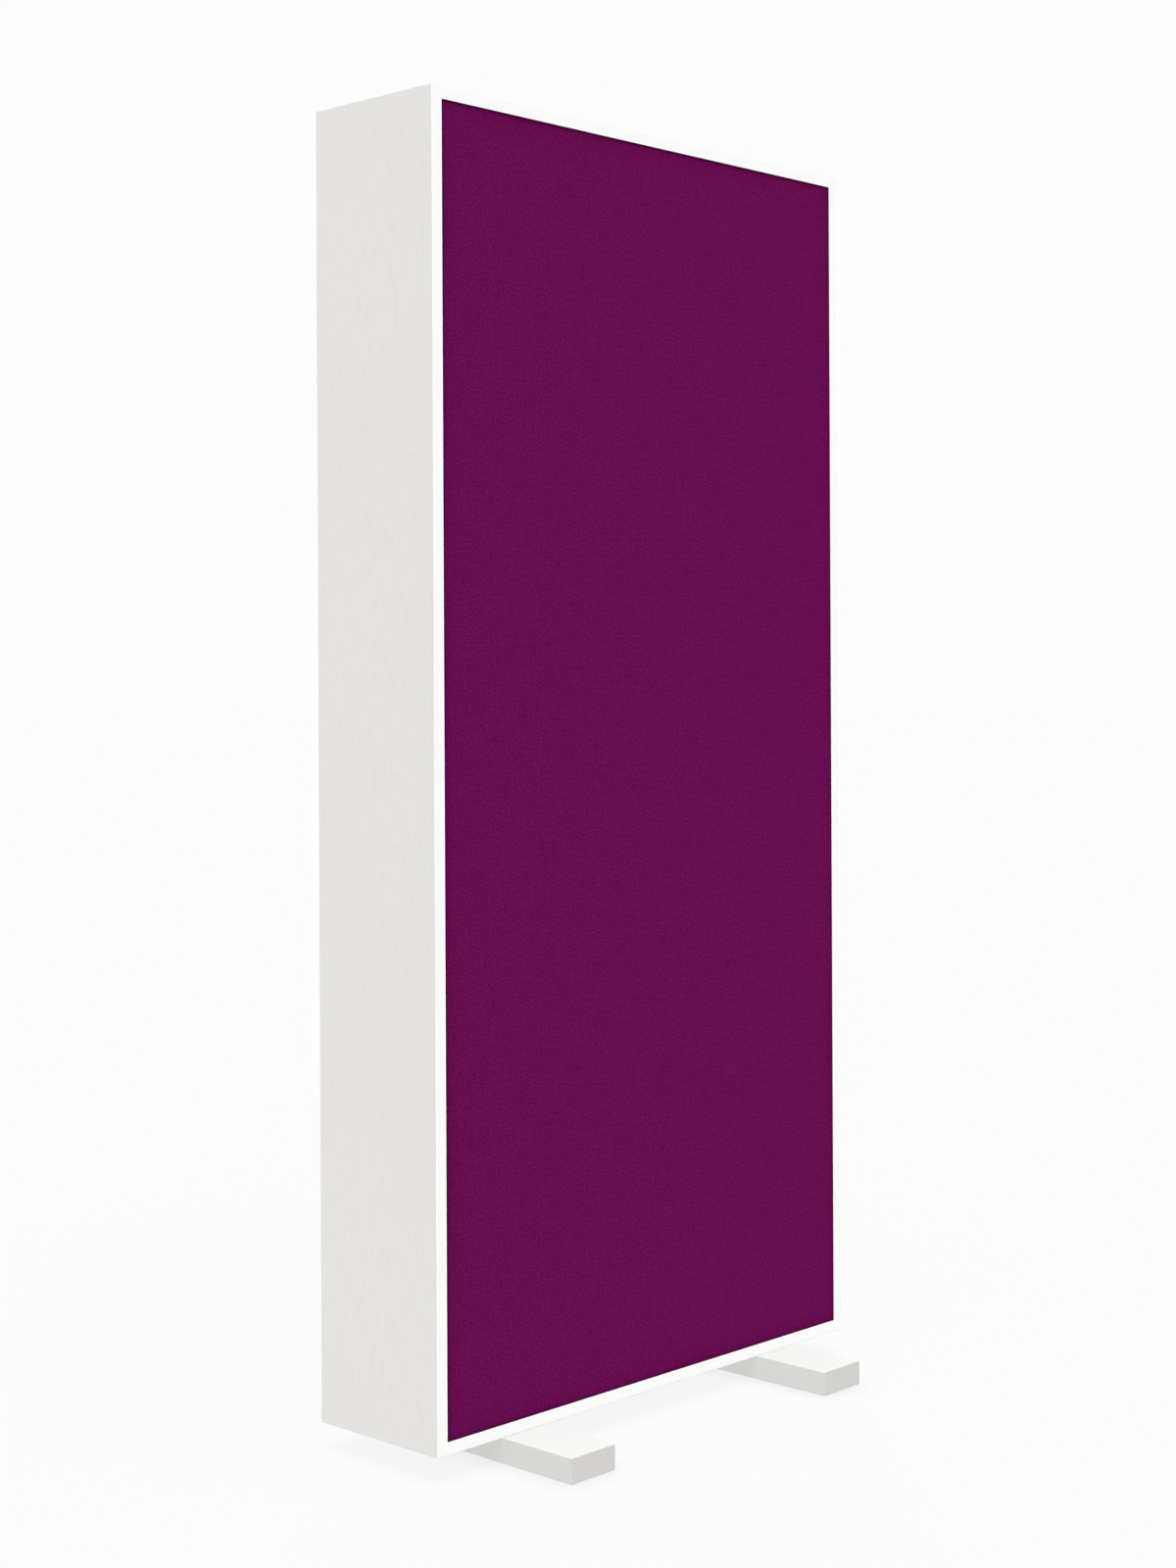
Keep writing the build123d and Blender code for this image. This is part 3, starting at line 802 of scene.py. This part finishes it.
def boxFaces(half, cell):
    # Six grids on the faces of a box, each with the two directions that span it
    points, faces, start = [], [], 0
    for axis in range(3):
        span = [(axis + 1) % 3, (axis + 2) % 3]
        marks = [np.linspace(-half[way], half[way], int(2 * half[way] / cell) + 2)
                 for way in span]
        first, second = np.meshgrid(*marks, indexing="ij")
        quads = gridFaces(*first.shape)
        for side in (-1, 1):
            grid = np.zeros(first.shape + (3,))
            grid[..., axis] = side * half[axis]
            grid[..., span] = np.stack([first, second], -1)
            points.append(grid.reshape(-1, 3))
            faces.append((quads if side < 0 else quads[:, ::-1]) + start)
            start += first.size
    return np.concatenate(points), np.concatenate(faces)


def woolSlab(name, node, material, shift):
    # A box with rounded edges: each point's nearest place on the box shrunk by the edge radius,
    # plus that radius along the way out, less a sum of sines of its place for the loose fibres
    low, high = (np.array(corner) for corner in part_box(node))
    half, middle = (high - low) / 2, (high + low) / 2
    points, faces = boxFaces(half, wool["cell"])
    core = np.clip(points, wool["edge"] - half, half - wool["edge"])
    outward = points - core
    outward /= np.linalg.norm(outward, axis=1)[:, None]
    waves = np.array(wool["waves"])
    phases = points @ waves.T * wool["waveScale"] + shift
    phases = phases + np.arange(len(waves)) * wool["waveShift"]
    depth = wool["edge"] - wool["rough"] * (0.5 - np.sin(phases).mean(1) * 0.5)
    points = core + outward * depth[:, None] + middle
    piece = makePiece(name, points, faces, material)
    mergeDoubles(piece, wool["merge"])
    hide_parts(node)
    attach(piece, "root")


woolMaterial = mineralWool("mineralWool")
for side, shift in wool["sideShift"].items():
    for place in ("lower", "upper"):
        woolSlab(side + "Wool" + place.title(), side + "_wool_" + place, woolMaterial, shift)
print("mineral wool made")

# Floor, white surroundings and light

studio = {
    "sky": 0.27,
    "white": (0.983, 0.983, 0.983, 1),
    # Each lamp's light on a face that looks right, back and up, and its width in degrees
    "lamps": {
        "softSun": ((-0.10, -0.22, 0.68), 50.0),
        "frontFill": ((-0.511, -0.514, 0.08), 12.0),
        "backFill": ((0.56, 0.56, 0.06), 9.0),
    },
    "floorHalf": 60,  # metres
    "floorMarks": 25,  # points along an edge
    "floorTone": (0.885, 0.885, 0.885, 1),
    "floorSpeckle": (0.72, 0.72, 0.72, 1),
    "speckles": 6.0,  # a metre
    "speckleTones": (0.3, 0.7, 0.0, 0.02),
    "shadowShare": 0.040,  # how much of the floor's own shading the camera sees
    # Short shade on the floor where something stands on it: how far, how deep, how finely
    "contactReach": 0.028,
    "contactDepth": 0.185,
    "contactSamples": 8,
}


def seenDirectly(tree):
    rays = tree.nodes.new("ShaderNodeLightPath").outputs
    seen = calc(tree, "MAXIMUM", rays["Is Camera Ray"], rays["Is Glossy Ray"])
    return calc(tree, "MAXIMUM", seen, rays["Is Transmission Ray"])


def makeWorld():
    world = bpy.data.worlds.new("studio")
    world.use_nodes = True
    tree = world.node_tree
    tree.nodes.clear()
    lit = put(tree, "ShaderNodeBackground", {0: (1, 1, 1, 1), 1: studio["sky"]})
    white = put(tree, "ShaderNodeBackground", {0: studio["white"], 1: 1.0})
    both = put(tree, "ShaderNodeMixShader", {0: seenDirectly(tree), 1: lit, 2: white})
    put(tree, "ShaderNodeOutputWorld", {0: both}, out=slice(0))
    bpy.context.scene.world = world


def makeFloor():
    material, tree = startMaterial("floorPaint")
    speckle = noise(tree, objectPlace(tree), studio["speckles"])
    speckle = spread(tree, speckle, *studio["speckleTones"])
    tone = tint(tree, speckle, studio["floorTone"], studio["floorSpeckle"])
    matt = put(tree, "ShaderNodeBsdfDiffuse", {0: tone})
    reach, deep = studio["contactReach"], studio["contactDepth"]
    clear = put(tree, "ShaderNodeAmbientOcclusion", {"Distance": reach}, 1,
                samples=studio["contactSamples"])
    near = calc(tree, "MULTIPLY_ADD", clear, deep, 1 - deep)
    white = put(tree, "ShaderNodeEmission", {0: studio["white"], 1: near})
    pale = put(tree, "ShaderNodeMixShader", {0: studio["shadowShare"], 1: white, 2: matt})
    both = put(tree, "ShaderNodeMixShader", {0: seenDirectly(tree), 1: matt, 2: pale})
    put(tree, "ShaderNodeOutputMaterial", {0: both}, out=slice(0))
    # A flat square grid
    marks = np.linspace(-studio["floorHalf"], studio["floorHalf"], studio["floorMarks"])
    x, y = np.meshgrid(marks, marks)
    points = np.stack([x, y, 0 * x], -1).reshape(-1, 3)
    floor = makePiece("floor", points, gridFaces(*x.shape), material)
    floor.visible_shadow = False  # the sky lights from below too, as over a lit table


def makeLamp(name, towards, width):
    light = bpy.data.lights.new(name, "SUN")
    light.energy = math.pi * Vector(towards).length
    light.angle = math.radians(width)
    lamp = bpy.data.objects.new(name, light)
    lamp.matrix_world = Vector(towards).to_track_quat("Z", "Y").to_matrix().to_4x4()
    lamp.visible_glossy = not name.endswith("Fill")  # a low lamp would glare on the level faces
    bpy.context.scene.collection.objects.link(lamp)


makeWorld()
makeFloor()
for piece in bpy.context.scene.objects:
    piece.visible_diffuse = False  # neither a piece nor the floor throws its colour on another
for lampName, (towards, width) in studio["lamps"].items():
    makeLamp(lampName, towards, width)
bpy.context.scene.view_settings.view_transform = "Standard"
print("studio lit")
